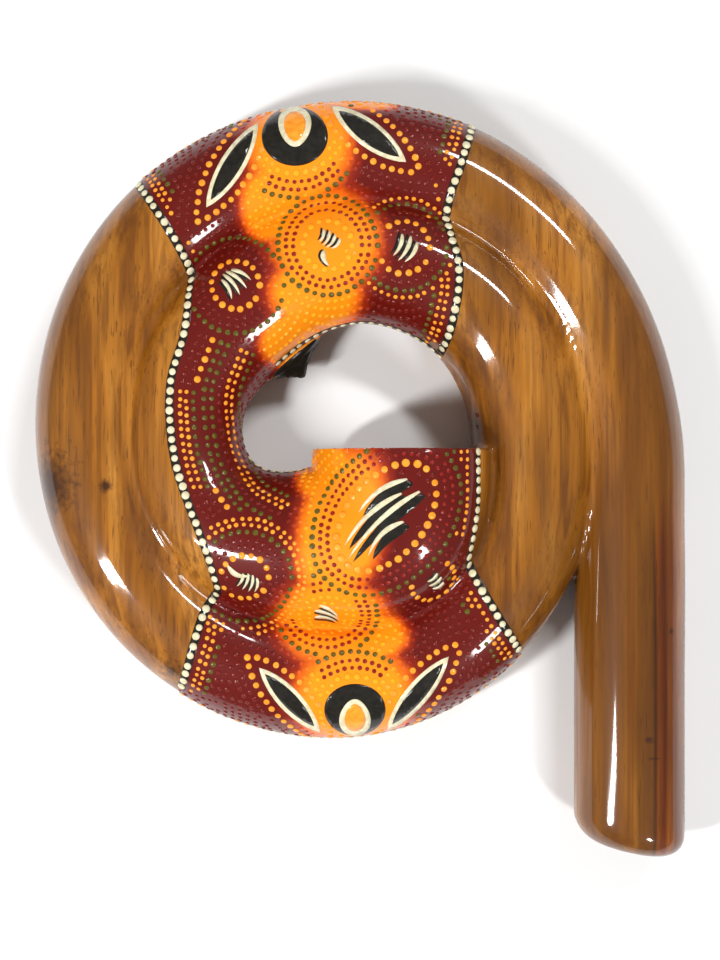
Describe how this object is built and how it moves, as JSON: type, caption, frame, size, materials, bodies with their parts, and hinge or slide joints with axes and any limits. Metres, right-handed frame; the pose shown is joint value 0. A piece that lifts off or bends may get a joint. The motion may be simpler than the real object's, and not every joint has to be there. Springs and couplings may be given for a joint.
{
  "type": "didgeridoo",
  "caption": "Coiled wooden travel didgeridoo with a straight mouth leg, a spiral body and a wide bell opening in the middle, with a dot-painted band across the front.",
  "frame": {"origin": "under the middle of the body's box, on the surface that the flat back lies on", "axes": "+Z out of the painted front, -Y the way the straight leg and its mouth point, +X to the leg's side"},
  "size_m": [0.3456, 0.3968, 0.087],
  "materials": {
    "varnished_wood": "carved hardwood under a high-gloss clear varnish",
    "glue": "cured wood glue, a thin dark line"
  },
  "bodies": {
    "root": {"front_half": "varnished_wood", "back_half": "varnished_wood", "glue_line": "glue"}
  },
  "joints": []
}
